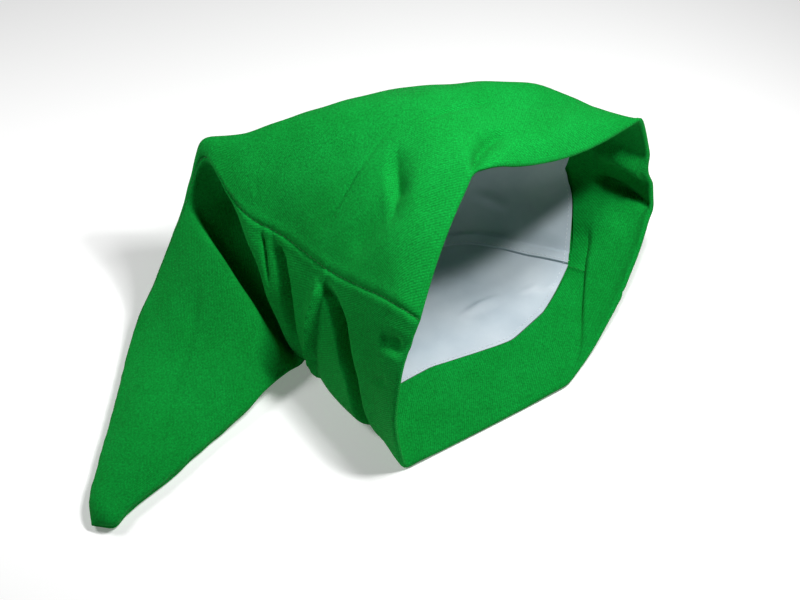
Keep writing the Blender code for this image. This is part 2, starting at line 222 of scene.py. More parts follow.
def section_loop(corners, swells, softness, far_seam):
    """Points round one section, from the near seam over the top to the far seam and back below."""
    centre = corners.mean(axis=0)
    share = np.linspace(0, 1, SIDE_SAMPLES, endpoint=False)[:, None]
    sides = []
    for k, swell in enumerate(swells):
        start = corners[k]
        along = corners[(k + 1) % CORNERS] - start
        away = start + along / 2 - centre
        away = away - (away @ along) / (along @ along) * along
        away = away / np.linalg.norm(away)
        sides.append(start + share * along + 4 * share * (1 - share) * swell * away)
    loop = np.concatenate(sides)
    loop = np.vstack([loop, loop[:1]])
    reach = np.concatenate([[0], np.cumsum(np.linalg.norm(np.diff(loop, axis=0), axis=1))])
    girth = reach[-1]
    near_seam = reach[SIDE_SAMPLES]
    far_corner, right_corner = reach[4 * SIDE_SAMPLES], reach[5 * SIDE_SAMPLES]
    opposite = far_corner + (right_corner - far_corner) * far_seam
    even = np.linspace(0, girth, ROUND_SAMPLES, endpoint=False)
    points = np.stack([np.interp(even, reach, loop[:, axis]) for axis in range(3)], axis=1)
    waves = np.fft.rfftfreq(ROUND_SAMPLES, d=girth / ROUND_SAMPLES)
    rounding = np.exp(-2 * (np.pi * waves * softness) ** 2)[:, None]
    points = np.fft.irfft(np.fft.rfft(points, axis=0) * rounding, n=ROUND_SAMPLES, axis=0)
    points[:, 2] = np.maximum(points[:, 2], 0)
    reads = np.where(shares < 0.5,
                     near_seam + 2 * shares * (opposite - near_seam),
                     opposite + (2 * shares - 1) * (near_seam + girth - opposite)) % girth
    points = np.vstack([points, points[:1]])
    even = np.append(even, girth)
    return np.stack([np.interp(reads, even, points[:, axis]) for axis in range(3)], axis=1), girth


print("columns round the hat:", len(shares))

# %% The smooth surface from rim to tip
PLACES = 401


def cap_surface():
    """The outer face as a grid of points, rim to tip and round, with its places and girths."""
    places = np.linspace(0, 1, PLACES)
    corners = np.stack([[smooth_values(set_places, set_corners[:, k, axis], places)
                         for axis in range(3)] for k in range(CORNERS)]).transpose(2, 0, 1)
    swells = np.stack([smooth_values(set_places, set_swells[:, k], places)
                       for k in range(CORNERS)], 1)
    softness = smooth_values(set_places, set_softness, places)
    seams = smooth_values(set_places, set_seams, places)
    loops = [section_loop(*values) for values in zip(corners, swells, softness, seams)]
    return np.array([loop for loop, _ in loops]), places, np.array([girth for _, girth in loops])


surface, places, girths = cap_surface()
print("girth of the rim in mm:", round(girths[0] / MM))


# %% [markdown]
# ## Rows of cloth
# The rim is cut at a slant, and the hem's edge runs unevenly behind it in the photo. So the hem's
# rows are measured from the rim, as far as the widths in its table say. The rest of the body and
# the tail share out what is left. Where the tail folds over, twill can't turn on a knife edge, so
# the rows there are eased into a soft bend. The tail's end is rounded off until it is all but shut.

# %% Read the rows
ROWS_IN_HEM = 36
ROWS_IN_BODY = 110
ROWS_IN_TAIL = 90
EDGE_RADIUS = HEM_WALL / 2
EASE_REACH = 30 * MM              # how far from the fold the cloth is eased
EASE_ROUNDS = 24
TIP_LENGTH = 14 * MM              # over which the tail's end is rounded off
TIP_HOLE = 0.002                  # how little stays open at its very end
SOLID_SHIFT = np.array([9.82, -74.25, 0]) * MM      # the solid model is centred on its box


def unit(vectors):
    return vectors / np.maximum(np.linalg.norm(vectors, axis=-1, keepdims=True), 1e-12)


def reach_of(grid):
    steps = np.linalg.norm(np.diff(grid, axis=0), axis=2)
    return np.vstack([np.zeros(grid.shape[1]), np.cumsum(steps, axis=0)])


def cloth_rows():
    """The points of the cloth in rows from rim to tip, and the place of each point."""
    reach = reach_of(surface)
    body = np.arange(1, ROWS_IN_BODY + 1) / ROWS_IN_BODY
    tail = CRIMP + (1 - CRIMP) * np.arange(1, ROWS_IN_TAIL + 1) / ROWS_IN_TAIL
    grid, at = [], []
    hem_width = np.interp(shares, *np.array(HEM_WIDTHS).T) * MM
    for j in range(surface.shape[1]):
        start, end, step_end = np.interp([EDGE_RADIUS, hem_width[j], hem_width[j] + HEM_STEP],
                                         reach[:, j], places)
        hem = start + (end - start) * np.arange(ROWS_IN_HEM + 1) / ROWS_IN_HEM
        column = np.concatenate([hem, [step_end], step_end + (CRIMP - step_end) * body, tail])
        at.append(column)
        grid.append([np.interp(column, places, surface[:, j, axis]) for axis in range(3)])
    return np.array(grid).transpose(2, 0, 1), np.array(at).T


rows, at_place = cloth_rows()
crimp_row = ROWS_IN_HEM + 1 + ROWS_IN_BODY
row_reach = reach_of(rows).mean(axis=1)
ease = np.clip(1 - np.abs(row_reach - row_reach[crimp_row]) / EASE_REACH, 0, 1)[1:-1, None, None]
for _ in range(EASE_ROUNDS):
    rows[1:-1] += ease * ((rows[:-2] + rows[2:]) / 2 - rows[1:-1]) / 2
tip_share = np.clip((row_reach[-1] - row_reach) / TIP_LENGTH, TIP_HOLE, 1)
tip_width = np.sqrt(1 - (1 - tip_share) ** 2)[:, None]
middle = rows.mean(axis=1, keepdims=True)
rows = middle + (rows - middle) * tip_width[..., None]
rows += SOLID_SHIFT
print("rows:", rows.shape, "span in mm:", np.round(np.ptp(rows, axis=(0, 1)) / MM, 1))


# %% Outward directions
def normals_of(grid):
    """Outward directions of a grid of points whose second axis closes on itself."""
    beside = np.roll(grid, -1, axis=1)
    cells = unit(np.cross(beside[1:] - grid[:-1], grid[1:] - beside[:-1]))
    cells = cells + np.roll(cells, 1, axis=1)
    return unit(np.concatenate([cells[:1], cells]) + np.concatenate([cells, cells[-1:]]))


def softened(values, rounds):
    """Each value drawn towards its neighbours along and round the cloth."""
    for _ in range(rounds):
        beside = np.roll(values, 1, axis=1) + np.roll(values, -1, axis=1)
        ends = np.concatenate([values[:1], values, values[-1:]])
        values = (2 * values + beside + ends[:-2] + ends[2:]) / 6
    return values


NORMAL_ROUNDS = 30
normals = unit(softened(normals_of(rows), NORMAL_ROUNDS))
print("outward directions:", normals.shape)

# %% [markdown]
# ## Folds, creases and dents
# What makes cloth look like cloth is its folds. Each is a line on the surface, and the cloth beside
# it is pushed out for a ridge or in for a valley. A fold has a width and a lean, because one flank
# is often steeper than the other, and it may end in a sharp crease. Its depth changes from point to
# point, so that it can fade out.

# %% Tables of folds
# Name, half width in mm, lean, sharpness, and points of place, share round and depth in mm. The
# share round is 0 at the near seam, 0.5 at the far one and 1 back at the near seam.
OUTER_FOLDS = [
    ("cross ridge", 7, 0.6, 0.9,
     [(0.314, 0.995, 1.0), (0.326, 0.959, 4.6), (0.337, 0.927, 6.0), (0.349, 0.878, 6.0),
      (0.367, 0.820, 3.0), (0.380, 0.760, 0.2)]),
    ("valley beside it", 9, -0.35, 0.7,
     [(0.327, 0.985, -0.6), (0.298, 0.964, -7.0), (0.272, 0.942, -12.0), (0.250, 0.918, -13.5),
      (0.222, 0.893, -13.0), (0.199, 0.854, -10.0), (0.174, 0.800, -1.0)]),
    ("pleat", 7, 0.6, 0.9,
     [(0.409, 0.985, -0.8), (0.399, 0.967, -8.0), (0.392, 0.938, -12.0), (0.391, 0.910, -12.0),
      (0.394, 0.860, -9.5), (0.399, 0.800, -1.0)]),
    ("groove", 3.5, 0, 0.8,
     [(0.433, 0.999, -0.6), (0.432, 0.968, -2.6), (0.432, 0.930, -2.2), (0.432, 0.890, 0)]),
    ("faint line", 3, 0.3, 1,
     [(0.205, 0.140, 0), (0.246, 0.107, -1.0), (0.278, 0.081, -1.3), (0.304, 0.055, -1.0),
      (0.348, 0.013, 0)]),
    ("low ridge", 14, 0, 0,
     [(0.190, 0.130, 0), (0.225, 0.100, 1.1), (0.260, 0.070, 1.2), (0.300, 0.035, 0.3)]),
    ("dent", 10.5, -0.4, 0.7,
     [(0.187, 0.120, 0), (0.186, 0.098, -5.0), (0.166, 0.082, -6.4), (0.158, 0.071, -3.0),
      (0.145, 0.050, 0)]),
    ("long valley", 12, 0, 0,
     [(0.160, 0.075, 0), (0.190, 0.055, -1.8), (0.235, 0.035, -2.0), (0.280, 0.015, -0.4)]),
    ("short crease", 2.5, 0, 1, [(0.437, 0.068, 0), (0.437, 0.045, -0.9), (0.438, 0.025, 0)]),
    ("curved crease", 3, 0.4, 1,
     [(0.162, 0.145, 0), (0.159, 0.161, -1.6), (0.156, 0.175, -1.6), (0.154, 0.192, -1.2),
      (0.150, 0.215, 0)]),
    ("notch", 7, 0.3, 1,
     [(0.000, 0.128, -7.0), (0.020, 0.133, -8.0), (0.057, 0.156, -7.0), (0.072, 0.173, -4.6),
      (0.083, 0.190, 0)]),
    ("brow roll", 12, 0, 0,
     [(0.000, 0.160, 1.4), (0.020, 0.200, 2.0), (0.020, 0.260, 1.4), (0.010, 0.310, 0)]),
    ("corner bump", 10, 0, 0.2,
     [(0.180, 0.380, 0), (0.150, 0.376, -4.0), (0.100, 0.372, -7.0), (0.038, 0.374, -6.5),
      (0.000, 0.376, -3.0)]),
    ("corner valley", 7, 0, 0.8,
     [(0.185, 0.408, 0), (0.150, 0.410, 5.0), (0.090, 0.412, 6.0), (0.037, 0.415, 3.0),
      (0.000, 0.418, 1.0)]),
    ("dimple", 8, 0, 0.5, [(0.110, 0.962, 0), (0.080, 0.962, -3.0), (0.040, 0.966, -4.4),
                           (0.000, 0.970, -1.0)]),
    ("small dimple", 4, 0, 0.3, [(0.120, 0.910, 0), (0.070, 0.920, -1.6), (0.040, 0.930, 0)]),
    ("pucker", 5, 0, 0.3, [(0.335, 0.900, 0), (0.350, 0.892, -1.2), (0.372, 0.884, 0)]),
    ("second pucker", 5, 0, 0.3, [(0.335, 0.862, 0), (0.352, 0.856, -1.0), (0.380, 0.850, 0)]),
    ("back fold", 14, 0.2, 0.3,
     [(0.080, 0.440, 0), (0.150, 0.450, -2.6), (0.230, 0.440, -3.4), (0.320, 0.425, -1.0)]),
    ("back ridge", 12, -0.2, 0.2,
     [(0.120, 0.360, 0), (0.220, 0.350, 1.8), (0.330, 0.330, 1.4), (0.420, 0.300, 0)]),
    ("back crease", 5, 0.3, 1,
     [(0.260, 0.300, 0), (0.330, 0.320, -1.8), (0.400, 0.350, -1.4), (0.450, 0.370, 0)]),
    ("tail crease", 7, 0.3, 0.4,
     [(0.640, 0.880, 0), (0.690, 0.800, -1.0), (0.750, 0.740, -0.8), (0.820, 0.700, 0)]),
]
# Folds of the turned-in hem, seen through the mouth: a height above 0 is towards the wall
FACING_FOLDS = [
    ("facing crease", 10, -0.7, 1,
     [(0.165, 0.452, 0), (0.154, 0.476, 4.4), (0.149, 0.490, 6.0), (0.134, 0.513, 6.6),
      (0.106, 0.537, 5.8), (0.058, 0.573, 3.8), (0.020, 0.600, 0.6)]),
    ("slight wrinkle", 3, 0, 0.6, [(0.145, 0.608, 0), (0.124, 0.616, 0.6), (0.100, 0.626, 0)]),
    ("low wrinkle", 3, 0, 0.6, [(0.035, 0.805, 0), (0.058, 0.784, 0.8), (0.080, 0.765, 0)]),
]
LINING_FOLDS = [
    ("pucker by the seam", 3, 0, 0.6, [(0.170, 0.520, 0), (0.175, 0.535, -0.9), (0.190, 0.545, 0)]),
    ("second pucker", 3, 0, 0.6, [(0.185, 0.525, 0), (0.195, 0.545, -0.7), (0.205, 0.560, 0)]),
    ("soft crease", 7, 0.3, 0.8, [(0.215, 0.560, 0), (0.235, 0.590, -2.4), (0.250, 0.625, 0)]),
    ("streak", 5, 0, 0.5, [(0.340, 0.425, 0), (0.307, 0.446, -2.0), (0.279, 0.462, 0)]),
]
print("folds:", len(OUTER_FOLDS), "outside,", len(FACING_FOLDS), "in the hem,",
      len(LINING_FOLDS), "in the lining")

# %% How far each fold moves the cloth
place_reach = np.interp(places, at_place.mean(axis=1), row_reach)
local_girth = np.interp(at_place, places, girths)


def fold_heights(folds):
    """Height of the folds at each point of the cloth, in metres, outwards."""
    total = np.zeros(at_place.shape)
    along_cloth = np.interp(at_place, places, place_reach)
    for _, width, lean, sharpness, points in folds:
        first = points[0][1]
        offset = (shares - first + 0.5) % 1 - 0.5
        spot = np.stack([along_cloth, offset * local_girth], axis=2)
        line = [np.array([np.interp(place, places, place_reach),
                          ((share - first + 0.5) % 1 - 0.5) * np.interp(place, places, girths)])
                for place, share, _ in points]
        nearest = np.full(at_place.shape, np.inf)
        height = np.zeros(at_place.shape)
        for start, end, low, high in zip(line[:-1], line[1:], points[:-1], points[1:]):
            run = end - start
            share = np.clip((spot - start) @ run / (run @ run), 0, 1)
            away = spot - start - share[..., None] * run
            side = np.sign(run[0] * away[..., 1] - run[1] * away[..., 0])
            far = np.linalg.norm(away, axis=2) / (width * MM * (1 + lean * side))
            profile = np.clip(1 - far ** (2 - sharpness), 0, 1) ** 2
            eased = share * share * (3 - 2 * share)
            depth = (low[2] + (high[2] - low[2]) * eased) * MM
            closer = far < nearest
            nearest = np.where(closer, far, nearest)
            height = np.where(closer, depth * profile, height)
        total += height
    return total


outer_folds = fold_heights(OUTER_FOLDS)
facing_folds = fold_heights(FACING_FOLDS)
lining_folds = fold_heights(LINING_FOLDS)
print("deepest fold in mm:", round(outer_folds.min() / MM, 1),
      "highest:", round(outer_folds.max() / MM, 1))

# %% [markdown]
# Sewn and worn cloth is never perfectly even. Waves of a few centimetres make it look handled, and
# short ripples beside a seam show where the thread draws the cloth in. Both are sums of sine waves
# with seeded directions, so they are the same in every run.

# %% Uneven cloth and seams
WAVES = (0.38 * MM, 16 * MM, 70 * MM, 16)         # height, shortest, longest and how many
PUCKERS = (0.16 * MM, 6 * MM, 13 * MM, 6)
PUCKER_REACH = 7 * MM             # how far from a seam the short ripples go
SEAM_DEPTH = 0.7 * MM
SEAM_WIDTH = 1.0 * MM
ALLOWANCE_HEIGHT = 0.35 * MM
ALLOWANCE_AT = 3.4 * MM
ALLOWANCE_WIDTH = 2.4 * MM
random = np.random.default_rng(7)


def waves(points, height, shortest, longest, count):
    """A sum of sine waves through space, read at each point."""
    total = np.zeros(points.shape[:-1])
    for _ in range(count):
        direction = unit(random.normal(size=3))
        length = random.uniform(shortest, longest)
        total += np.sin(2 * np.pi * (points @ direction) / length + random.uniform(0, 2 * np.pi))
    return height * total / np.sqrt(count)


uneven = waves(rows, *WAVES)
from_seam = np.minimum(shares % 0.5, 0.5 - shares % 0.5) * local_girth
ripple = waves(rows, *PUCKERS) * np.exp(-(from_seam / PUCKER_REACH) ** 2)
groove = -SEAM_DEPTH * np.exp(-(from_seam / SEAM_WIDTH) ** 2)
allowance = ALLOWANCE_HEIGHT * np.exp(-((from_seam - ALLOWANCE_AT) / ALLOWANCE_WIDTH) ** 2)
seam_profile = groove + allowance
print("columns in a seam groove:", int((from_seam[0] < SEAM_WIDTH).sum()))

# %% [markdown]
# ## The faces of the cloth
# The outer face, the turned-in hem and the lining are all read from the same smooth surface, each
# at its own depth below it. So they keep their distance, however the hat is folded. Where opposite
# walls lie close together, at the fold and along the tail's edges, the cloth is thinned in step.

# %% Depth that is free below each point
COARSE_ROWS, COARSE_COLUMNS = 6, 10
OPEN_DEPTH = 50 * MM              # taken where nothing lies opposite
SIDE_REACH = 8 * MM               # how far to the side opposite cloth still counts
TURNED_AWAY = -0.2                # cloth that faces the other way, as a cosine
STEEPNESS = 0.4                   # least share of depth in the way to it
WALL_SHARE = 0.4                  # of the free depth that a wall may fill


def free_depth():
    """How far in from each point the nearest cloth that faces the other way lies."""
    coarse = rows[::COARSE_ROWS, ::COARSE_COLUMNS]
    points = coarse.reshape(-1, 3)
    out = normals[::COARSE_ROWS, ::COARSE_COLUMNS].reshape(-1, 3)
    depth = np.full(len(points), OPEN_DEPTH)
    for k, (point, way) in enumerate(zip(points, out)):
        apart = points - point
        inward = -(apart @ way)
        beside = np.linalg.norm(apart + inward[:, None] * way, axis=1)
        facing = out @ way < TURNED_AWAY
        opposite = facing & (inward > STEEPNESS * beside) & (beside < SIDE_REACH)
        if opposite.any():
            depth[k] = inward[opposite].min()
    depth = depth.reshape(coarse.shape[:2])
    row_at = np.arange(0, len(rows), COARSE_ROWS)
    by_row = np.stack([np.interp(np.arange(len(rows)), row_at, column) for column in depth.T], 1)
    column_at = np.arange(0, rows.shape[1] + 1, COARSE_COLUMNS)
    by_row = np.hstack([by_row, by_row[:, :1]])
    return np.stack([np.interp(np.arange(rows.shape[1]), column_at, row) for row in by_row])


room = WALL_SHARE * free_depth() * tip_width
print("least depth in mm:", round(room.min() / MM, 2))

# %% Outer face, hem and inside of the twill
FADE_DEPTH = 3 * MM               # folds fade where there is less room than this
FADE_ROUNDS = 60

hem_rows = ROWS_IN_HEM + 1
wall = np.full(at_place.shape, SHELL_WALL)
wall[:hem_rows] = HEM_WALL
wall = np.minimum(wall, room)
fold_share = softened(np.clip(room / FADE_DEPTH, 0, 1), FADE_ROUNDS)
outer_height = (outer_folds + uneven + ripple + seam_profile) * fold_share
inner_height = outer_folds * fold_share + uneven + facing_folds - wall


def lifted(height):
    """The rows of points, each moved outwards by its height."""
    return rows + normals * height[..., None]


outer_face = lifted(outer_height)
outer_face[..., 2] = np.maximum(outer_face[..., 2], 0)
inner_face = lifted(inner_height)
inner_face[..., 2] = np.maximum(inner_face[..., 2], wall)
print("outer face, lowest and highest in mm:", round(outer_face[..., 2].min() / MM, 2),
      round(outer_face[..., 2].max() / MM, 2))

# %% [markdown]
# ## The two panels of twill
# A panel is one closed piece of cloth: the outer face from the rim to the tip, the inside back to
# the rim, and a round edge where the hem is turned in. Its UV map is in metres on the flat cloth,
# so the weave keeps its size and follows the panel round every fold.

# %% Weave a closed sheet from rows of points
EDGE_STEPS = 6
CUT_EDGE = np.radians(55)         # a bend sharper than this is the cut edge of the cloth


def cloth_piece(name, outer, inner, u, v, round_edge):
    """One closed piece between two grids of points with the same rows and columns."""
    ring = [*outer, *inner[::-1]]
    ring_u = [*u, *u[::-1]]
    ring_v = [*v, *v[::-1]]
    if round_edge:
        middle = (outer[0] + inner[0]) / 2
        half = (outer[0] - inner[0]) / 2
        ahead = unit(outer[0] - outer[2]) * EDGE_RADIUS
        for turn in np.linspace(np.pi, 0, EDGE_STEPS + 1)[1:-1]:
            ring.append(middle + half * np.cos(turn) + ahead * np.sin(turn))
            ring_u.append(u[0])
            ring_v.append(v[0] - EDGE_RADIUS * np.sin(turn))
    ring = np.array(ring)
    count, width = ring.shape[:2]
    index = np.arange(count * width).reshape(count, width)
    after = np.roll(index, -1, axis=0)
    quads = np.stack([index[:, :-1], index[:, 1:], after[:, 1:], after[:, :-1]], 2).reshape(-1, 4)
    last = len(outer) - 1
    faces = quads.tolist()
    for k in range(last):
        other = 2 * last + 1 - k
        faces.append([index[k, 0], index[k + 1, 0], index[other - 1, 0], index[other, 0]])
        faces.append([index[k, -1], index[other, -1], index[other - 1, -1], index[k + 1, -1]])
    if round_edge:
        arc = [index[0], *index[2 * last + 1:]]
        faces.append([row[0] for row in arc])
        faces.append([row[-1] for row in arc[::-1]])
    mesh = bpy.data.meshes.new(name)
    mesh.from_pydata(ring.reshape(-1, 3).tolist(), [], [[int(i) for i in f] for f in faces])
    uv = np.stack([np.array(ring_u), np.array(ring_v)], axis=2).reshape(-1, 2)
    corner = np.zeros(len(mesh.loops), np.int32)
    mesh.loops.foreach_get("vertex_index", corner)
    mesh.uv_layers.new(name="Cloth").data.foreach_set("uv", uv[corner].ravel())
    mesh.shade_smooth()
    mesh.set_sharp_from_angle(angle=CUT_EDGE)
    piece = bpy.data.objects.new(name, mesh)
    scene.collection.objects.link(piece)
    return piece


half_turn = COLUMNS
panel_columns = {"upper": np.arange(half_turn + 1),
                 "lower": np.arange(half_turn, 2 * half_turn + 1) % (2 * half_turn)}
across = unit(np.roll(rows, -1, axis=1) - np.roll(rows, 1, axis=1))


def part_seams(face, columns, first_row=0):
    """A panel's face, drawn back from the panel that it is sewn to."""
    drawn = face[:, columns].copy()
    way = across[first_row:first_row + len(face)] * SEAM_GAP / 2
    drawn[:, 0] += way[:, columns[0]]
    drawn[:, -1] -= way[:, columns[-1]]
    return drawn


def flat_cloth(columns, first_row, end_row):
    """Where each point lies on the flat cut, in metres across and along."""
    across_panel = (panel_shares - 0.5) * local_girth[first_row:end_row, columns] / 2
    along_panel = np.interp(at_place[first_row:end_row, columns], places, place_reach)
    return across_panel, along_panel


panels = {}
for side, columns in panel_columns.items():
    u, v = flat_cloth(columns, 0, len(rows))
    panels[side] = cloth_piece(side + "_twill", part_seams(outer_face, columns),
                               part_seams(inner_face, columns), u, v, round_edge=True)
    print(side, "panel has", len(panels[side].data.polygons), "faces")

# %% [markdown]
# ## The lining
# The lining is thin and white, and satin is a guess from its gloss. It is made in two halves like
# the panels and starts at the edge of the turned-in hem. It hangs a little slack, so it follows
# only the larger folds. Where its halves meet, the upper one laps over the lower in a narrow welt.

# %% Lining
LAST_LINING_SHARE = 14 / 16       # of the body's rows
LAP_HEIGHT = 1.5 * MM
LAP_WIDTH = 6.5 * MM
LAP_EDGE = 1.2 * MM               # over which the lap sinks to the rest of the lining
SLACK_ROUNDS = 16
SMOOTH_ROUNDS = 10

first = hem_rows
last_row = hem_rows + round(LAST_LINING_SHARE * ROWS_IN_BODY)
slack = np.minimum(outer_folds, 0)
for _ in range(SLACK_ROUNDS):
    beside = np.minimum(np.roll(slack, 1, axis=1), np.roll(slack, -1, axis=1))
    ends = np.concatenate([slack[:1], slack, slack[-1:]])
    slack = np.minimum(slack, np.minimum(beside, np.minimum(ends[:-2], ends[2:])))
slack = softened(slack, SMOOTH_ROUNDS)
lining_height = slack * fold_share + uneven - wall - SEAM_GAP + lining_folds
far_side = (shares - 0.5) * local_girth
lap = LAP_HEIGHT * np.clip((far_side + LAP_WIDTH) / LAP_EDGE, 0, 1) * (far_side < 0)
lining_height = (lining_height - lap)[first:last_row]
satin_outer = rows[first:last_row] + normals[first:last_row] * lining_height[..., None]
satin_outer[..., 2] = np.maximum(satin_outer[..., 2], SHELL_WALL + SEAM_GAP)
satin_inner = satin_outer - normals[first:last_row] * LINING_WALL
satin_inner[..., 2] = np.maximum(satin_inner[..., 2], SHELL_WALL + SEAM_GAP + LINING_WALL)

linings = {}
for side, columns in panel_columns.items():
    u, v = flat_cloth(columns, first, last_row)
    linings[side] = cloth_piece(side + "_lining", part_seams(satin_outer, columns, first),
                                part_seams(satin_inner, columns, first), u, v, round_edge=False)
    print(side, "lining has", len(linings[side].data.polygons), "faces")


# %% [markdown]
# ## Stitches
# The panels are drawn with a green lockstitch, and the lining with a finer white one. Their sizes
# are guesses. A stitch is a short float of thread that dips into the cloth at both ends. Hundreds
# of them follow a line, so Geometry Nodes make them: the line is cut into even steps, and one
# thread lies at each.

# %% A node tree for a row of stitches
STITCH_SEED = 5
THREAD_SIDES = 8                  # of the long bead that a stitch is
THREAD_RINGS = 5


def stitch_tree():
    """Turns a line of edges into stitches, with its sizes as named inputs."""
    tree = bpy.data.node_groups.new("Row of stitches", "GeometryNodeTree")
    face = tree.interface
    face.new_socket("Geometry", in_out="INPUT", socket_type="NodeSocketGeometry")
    for name in ("Pitch", "Stitch length", "Thread diameter", "Unevenness"):
        face.new_socket(name, in_out="INPUT", socket_type="NodeSocketFloat")
    face.new_socket("Thread", in_out="INPUT", socket_type="NodeSocketMaterial")
    face.new_socket("Geometry", in_out="OUTPUT", socket_type="NodeSocketGeometry")
    make = tree.nodes.new
    given = make("NodeGroupInput")
    result = make("NodeGroupOutput")
    line = make("GeometryNodeMeshToCurve")
    even = make("GeometryNodeResampleCurve")
    even.mode = "LENGTH"
    thread = make("GeometryNodeMeshUVSphere")
    thread.inputs["Segments"].default_value = THREAD_SIDES
    thread.inputs["Rings"].default_value = THREAD_RINGS
    thread.inputs["Radius"].default_value = 0.5
    size = make("ShaderNodeCombineXYZ")
    along = make("GeometryNodeInputTangent")
    aim = make("FunctionNodeAlignRotationToVector")
    aim.axis = "Z"
    chance = make("FunctionNodeRandomValue")
    chance.data_type = "FLOAT_VECTOR"
    chance.inputs["Seed"].default_value = STITCH_SEED
    tilt = make("FunctionNodeRotateRotation")
    tilt.rotation_space = "LOCAL"
    less = make("ShaderNodeMath")
    less.operation = "MULTIPLY"
    less.inputs[1].default_value = -1
    placed = make("GeometryNodeInstanceOnPoints")
    real = make("GeometryNodeRealizeInstances")
    dyed = make("GeometryNodeSetMaterial")
    links = [
        (given, "Geometry", line, 0), (line, 0, even, "Curve"), (given, "Pitch", even, "Length"),
        (given, "Thread diameter", size, "X"), (given, "Thread diameter", size, "Y"),
        (given, "Stitch length", size, "Z"), (along, 0, aim, "Vector"),
        (given, "Unevenness", chance, "Max"), (given, "Unevenness", less, 0),
        (less, 0, chance, "Min"), (aim, 0, tilt, "Rotation"), (chance, "Value", tilt, "Rotate By"),
        (even, 0, placed, "Points"), (thread, "Mesh", placed, "Instance"),
        (tilt, 0, placed, "Rotation"), (size, 0, placed, "Scale"), (placed, 0, real, 0),
        (real, 0, dyed, "Geometry"), (given, "Thread", dyed, "Material"), (dyed, 0, result, 0),
    ]
    for source, output, target, entry in links:
        tree.links.new(source.outputs[output], target.inputs[entry])
    return tree


row_of_stitches = stitch_tree()
print("nodes in the tree:", len(row_of_stitches.nodes))

# %% Sew along lines
UNEVENNESS = 0.12                 # most that a stitch is turned, in radians


def sewn(name, lines, pitch, length, diameter, thread):
    """A plain mesh of stitches along each of the lines of points."""
    points = np.concatenate(lines)
    ends = np.cumsum([len(line) for line in lines])
    edges = [(k, k + 1) for k in range(len(points) - 1) if k + 1 not in ends]
    path = bpy.data.meshes.new(name + "_path")
    path.from_pydata(points.tolist(), edges, [])
    guide = bpy.data.objects.new(name + "_path", path)
    scene.collection.objects.link(guide)
    sewing = guide.modifiers.new("Sewing", "NODES")
    sewing.node_group = row_of_stitches
    sizes = {"Pitch": pitch, "Stitch length": length, "Thread diameter": diameter,
             "Unevenness": UNEVENNESS, "Thread": thread}
    for socket in row_of_stitches.interface.items_tree:
        if socket.in_out == "INPUT" and socket.name in sizes:
            sewing[socket.identifier] = sizes[socket.name]
    ready = guide.evaluated_get(bpy.context.evaluated_depsgraph_get())
    mesh = bpy.data.meshes.new_from_object(ready)
    mesh.name = name
    piece = bpy.data.objects.new(name, mesh)
    scene.collection.objects.link(piece)
    bpy.data.objects.remove(guide)
    bpy.data.meshes.remove(path)
    mesh.shade_smooth()
    return piece


# %% [markdown]
# ## Materials
# A material is a small network of nodes. One helper adds a node, sets it up and links it.
# Colours are written as on screen, in hex, and turned into the linear values that light needs.

# %% Helpers for materials
def linear(colour):
    """Linear colour of a hex value as a screen shows it."""
    parts = [int(colour[i:i + 2], 16) / 255 for i in (1, 3, 5)]
    return tuple(c / 12.92 if c <= 0.04045 else ((c + 0.055) / 1.055) ** 2.4 for c in parts) + (1,)


def new_material(name):
    material = bpy.data.materials.new(name)
    material.use_nodes = True
    material.node_tree.nodes.clear()
    return material, material.node_tree


def add(tree, kind, inputs=(), **settings):
    """Adds a node, with its settings, and its inputs as numbers or as sockets to link."""
    made = tree.nodes.new(kind)
    for name, value in settings.items():
        setattr(made, name, value)
    for name, value in dict(inputs).items():
        if isinstance(value, bpy.types.NodeSocket):
            tree.links.new(value, made.inputs[name])
        else:
            made.inputs[name].default_value = value
    return made


def ramp(tree, value, low, high, low_colour, high_colour):
    """A node that turns a value between low and high into a colour between two."""
    made = add(tree, "ShaderNodeMapRange", {"Value": value, "From Min": low, "From Max": high})
    mixed = add(tree, "ShaderNodeMix", {0: made.outputs[0]}, data_type="RGBA")
    mixed.inputs[6].default_value = linear(low_colour)
    mixed.inputs[7].default_value = linear(high_colour)
    return mixed.outputs[2]


print("the twill's green as linear values:", [round(c, 3) for c in linear("#06A93C")[:3]])

# %% [markdown]
# ### Green cotton twill
# Twill is woven so that each thread passes over two and under two, one step further in each row.
# That gives fine slanting ribs. They are drawn 1 mm apart, which is a guess, because the photo is
# too coarse to measure them. The dyed cotton is matt, and the fuzz of its fibres catches the light
# a little at grazing angles, which a sheen imitates.

# %% Green cotton twill
RIB_PITCH = 1.0 * MM              # between two slanting ribs
THREAD_PITCH = 0.5 * MM           # between two threads along a rib
WAVE_TEXTURE_PITCH = 2 * np.pi / 20   # a wave texture at scale 1 repeats at this distance
RIB_ANGLE = np.radians(-45)
twill, tree = new_material("Green cotton twill")
cloth = add(tree, "ShaderNodeUVMap", uv_map="Cloth").outputs[0]
turned = add(tree, "ShaderNodeMapping", {"Vector": cloth, "Rotation": (0, 0, RIB_ANGLE)})
ribs = add(tree, "ShaderNodeTexWave",
           {"Vector": turned.outputs[0], "Scale": WAVE_TEXTURE_PITCH / RIB_PITCH,
            "Distortion": 1.2, "Detail": 2, "Detail Scale": 1.5}, bands_direction="X")
threads = add(tree, "ShaderNodeTexWave",
              {"Vector": cloth, "Scale": WAVE_TEXTURE_PITCH / THREAD_PITCH,
               "Distortion": 0.8}, bands_direction="Y")
place = add(tree, "ShaderNodeTexCoord").outputs["Object"]
grain = add(tree, "ShaderNodeTexNoise", {"Vector": place, "Scale": 1100, "Detail": 3})
mottle = add(tree, "ShaderNodeTexNoise", {"Vector": place, "Scale": 45, "Detail": 5,
                                         "Roughness": 0.65})
